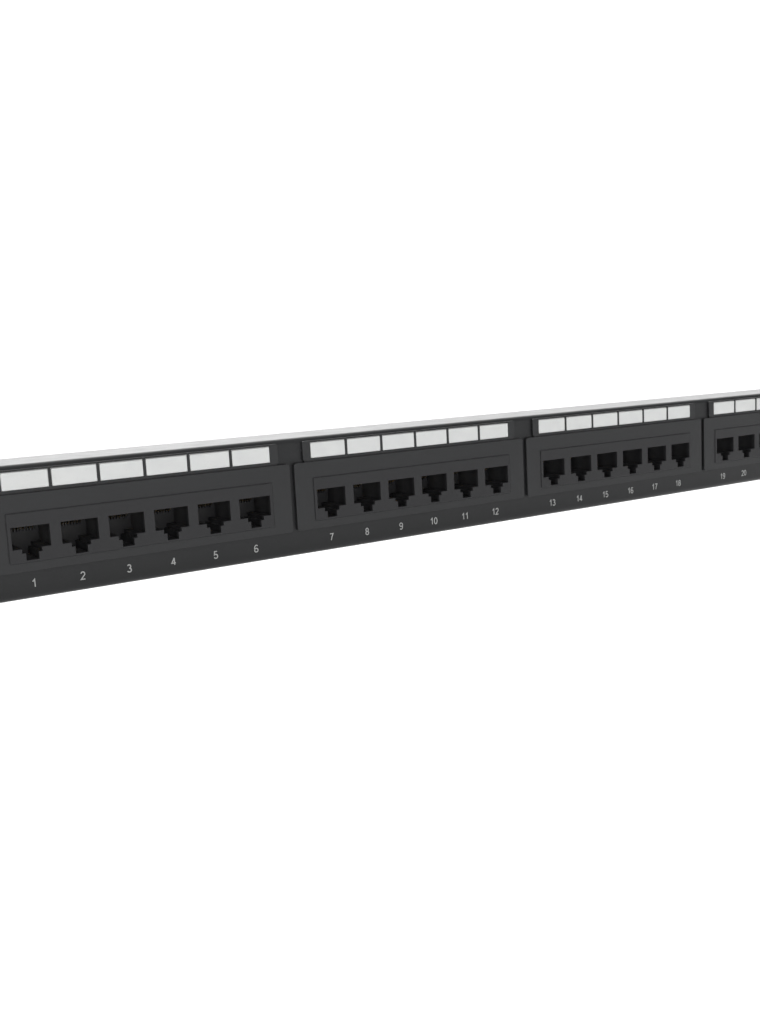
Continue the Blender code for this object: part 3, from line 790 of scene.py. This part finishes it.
def make_code_labels():
    """A film label between the rows of blocks, with a wire-pair colour for each clip."""
    thickness = 0.12 * MM
    half_width = 45 * MM
    half_height = 2.9 * MM
    corner_radius = 0.8 * MM
    # The film lies on the traces
    face = BOARD_BACK + PRINT + thickness
    middle = BOARD_Z - 1.6 * MM
    # The dabs: distance of their two rows from the middle, half sizes (narrow for even contacts,
    # wide for odd ones), and how much closer they stand than the clips
    row_offset = 1.4 * MM
    dab_half_height = 0.85 * MM
    dab_half_widths = (0.55 * MM, 1.15 * MM)
    squeeze = 0.86
    for k in range(MODULES):
        body = bmesh.new()
        outline = rounded_rectangle((MODULE_X[k], middle), half_width, half_height, corner_radius)
        add_prism(body, outline, face, face - thickness, facing_front)
        bmesh.ops.recalc_face_normals(body, faces=body.faces)
        for port in range(PORTS):
            z = middle + (row_offset if port < PORTS // 2 else -row_offset)
            for contact in range(CONTACTS):
                clip = contact_x(block_x(k, port), contact, CLIP_PITCH)
                x = MODULE_X[k] + (clip - MODULE_X[k]) * squeeze
                half = dab_half_widths[contact % 2]
                corners = add_box(body, (x - half, face, z - dab_half_height),
                                  (x + half, face + PRINT, z + dab_half_height))
                for side in {link for corner in corners for link in corner.link_faces}:
                    side.material_index = 1 + contact // 2
        label = piece(f"code_label_{k + 1}", body, FILM_WHITE)
        for color in WIRE_COLORS:
            label.data.materials.append(color)


def screw_outline(low, high, head_radius):
    """Half of a screw's outline as (radius, y), from the middle of its head to its tip."""
    seat = high.y - 1.9 * MM
    # The dome: share of the head's radius, and depth under its top in millimetres
    dome = ((0.0, 0.0), (0.35, 0.02), (0.62, 0.12), (0.85, 0.42), (0.97, 0.85), (1.0, 1.3))
    neck_radius = 1.25 * MM
    neck_end = seat - 1.6 * MM
    thread_end = low.y + 1.2 * MM
    thread_pitch = 1.1 * MM
    # Radius, and distance further towards the tip, of the thread's crest, its root and the point
    crest = (1.28 * MM, 0.15 * MM)
    root = (0.95 * MM, 0.55 * MM)
    point = (0.5 * MM, 0.4 * MM)
    points = [(share * head_radius, high.y - depth * MM) for share, depth in dome]
    points += [(head_radius, seat), (neck_radius, seat), (neck_radius, neck_end)]
    y = neck_end
    while y > thread_end:
        points += [(crest[0], y - crest[1]), (root[0], y - root[1])]
        y -= thread_pitch
    points += [(point[0], thread_end - point[1]), (0.0, low.y)]
    return points


def cut_cross(screw, x, z, top, angle):
    """Cut a cross recess into a screw's head, turned by an angle in degrees."""
    length = 2.9 * MM
    width = 0.62 * MM
    depth = 1.15 * MM
    above = 0.5 * MM
    cross = bmesh.new()
    for across, upward in ((length, width), (width, length)):
        add_box(cross, (-across / 2, top - depth, -upward / 2),
                (across / 2, top + above, upward / 2))
    cross.transform(Matrix.Translation((x, 0, z)) @ Matrix.Rotation(math.radians(angle), 4, "Y"))
    mesh = bpy.data.meshes.new("recess")
    cross.to_mesh(mesh)
    cross.free()
    cutter = bpy.data.objects.new("recess", mesh)
    bpy.context.scene.collection.objects.link(cutter)
    cut = screw.modifiers.new("recess", "BOOLEAN")
    cut.operation = "DIFFERENCE"
    cut.use_self = True
    cut.object = cutter
    bpy.context.view_layer.update()
    seen = screw.evaluated_get(bpy.context.evaluated_depsgraph_get())
    screw.data = bpy.data.meshes.new_from_object(seen)
    screw.modifiers.clear()
    bpy.data.objects.remove(cutter)


def make_screws():
    """Pan-head self-tappers: a domed head with a cross recess, and a thread on the shank."""
    steps = 32
    first_angle = 27
    angle_step = 40
    for k in range(MODULES):
        for side in ("left", "right"):
            node = f"module_screw_{k + 1}_{side}"
            low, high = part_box(node)
            x = (low.x + high.x) / 2
            z = (low.z + high.z) / 2
            outline = screw_outline(low, high, (high.x - low.x) / 2)
            body = bmesh.new()
            chain = [body.verts.new((x + radius, y, z)) for radius, y in outline]
            edges = [body.edges.new(pair) for pair in zip(chain, chain[1:])]
            bmesh.ops.spin(body, geom=chain + edges, cent=(x, 0, z), axis=(0, 1, 0),
                           angle=math.radians(360), steps=steps, use_merge=True)
            bmesh.ops.remove_doubles(body, verts=body.verts, dist=2 * WELD)
            bmesh.ops.recalc_face_normals(body, faces=body.faces)
            screw = piece(f"{node}_shape", body, ZINC, smooth=50.0)
            cut_cross(screw, x, z, high.y, first_angle + angle_step * k)
            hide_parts(node)


# ---------------------------------------------------------------- studio and camera

def make_surround():
    """White all round: bright behind the panel, dimmer in front and dimmest to the front right.

    The camera itself sees an even white.
    """
    behind = 2.8
    front_left = 0.80
    front_right = 0.26
    seen_by_camera = 1.2
    # One level passes into the next where a ray's direction has these shares of X and of Y
    to_right = (0.2, 0.8)
    to_rear = (-0.12, 0.6)
    world = bpy.data.worlds.new("studio")
    bpy.context.scene.world = world
    world.use_nodes = True
    tree = world.node_tree
    background = tree.nodes["Background"]
    background.inputs["Color"].default_value = (1.0, 1.0, 1.0, 1.0)
    split = tree.nodes.new("ShaderNodeSeparateXYZ")
    direction = tree.nodes.new("ShaderNodeTexCoord").outputs["Generated"]
    tree.links.new(direction, split.inputs[0])
    front = map_range(tree, split.outputs["X"], front_left, front_right, *to_right)
    around = map_range(tree, split.outputs["Y"], front_left, behind, *to_rear)
    around.interpolation_type = "SMOOTHSTEP"
    tree.links.new(front.outputs["Result"], around.inputs["To Min"])
    backdrop = tree.nodes.new("ShaderNodeMix")
    backdrop.inputs["B"].default_value = seen_by_camera
    is_camera = tree.nodes.new("ShaderNodeLightPath").outputs["Is Camera Ray"]
    tree.links.new(is_camera, backdrop.inputs["Factor"])
    tree.links.new(around.outputs["Result"], backdrop.inputs["A"])
    tree.links.new(backdrop.outputs["Result"], background.inputs["Strength"])


def make_floor():
    """A pale round floor some way under the panel."""
    radius = 6.0
    drop = 0.13
    floor_mesh = bpy.data.meshes.new("floor")
    body = bmesh.new()
    bmesh.ops.create_circle(body, cap_ends=True, segments=64, radius=radius)
    body.to_mesh(floor_mesh)
    body.free()
    floor = bpy.data.objects.new("floor", floor_mesh)
    floor.location.z = cad_low.z - drop
    paint = Finish("floor_paint", (0.84, 0.84, 0.84), 0.9)
    paint.tint(paint.remap(paint.noise(0.4), 0.0, 1.0), (0.82, 0.82, 0.82))
    floor_mesh.materials.append(paint.material)
    bpy.context.scene.collection.objects.link(floor)


def add_lamp(name, place, size, power):
    """A round soft light that shines at the origin."""
    light = bpy.data.lights.new(name, "AREA")
    light.shape = "DISK"
    light.size = size
    light.energy = power
    lamp = bpy.data.objects.new(name, light)
    lamp.location = place
    lamp.rotation_euler = (-Vector(place)).to_track_quat("-Z", "Y").to_euler()
    bpy.context.scene.collection.objects.link(lamp)


def make_studio():
    """White surround, pale floor, and a weak soft light in front and behind."""
    make_surround()
    make_floor()
    add_lamp("key", (-0.9, -1.1, 0.9), 1.0, 1.5)
    add_lamp("back", (0.3, 1.2, 1.0), 1.2, 4.0)


def make_camera():
    """The photograph's viewpoint, found by fitting a camera to the panel's straight edges."""
    place = (-0.29069, -0.34343, 0.04895)
    # From straight at the panel, the view turns this far to the right and this far down
    heading = math.radians(32.468)
    down = math.radians(8.415)
    roll = math.radians(-3.014)
    camera = bpy.data.cameras.new("camera")
    camera.sensor_width = 36.0
    camera.lens = 37.446
    camera.shift_y = 0.0081
    camera.clip_start = 0.01
    camera.clip_end = 50.0
    viewer = bpy.data.objects.new("camera", camera)
    viewer.matrix_world = (
        Matrix.Translation(place)
        @ Matrix.Rotation(-heading, 4, "Z")
        @ Matrix.Rotation(math.radians(90) - down, 4, "X")
        @ Matrix.Rotation(roll, 4, "Z"))
    bpy.context.scene.collection.objects.link(viewer)
    bpy.context.scene.camera = viewer
    bpy.context.scene.view_settings.view_transform = "Standard"


make_camera()
make_studio()
make_steel()
make_bezels()
make_jack_blocks()
make_labels()
make_numbers()
make_contacts()
make_boards()
make_joints_and_traces()
make_punch_down_blocks()
make_code_labels()
make_screws()
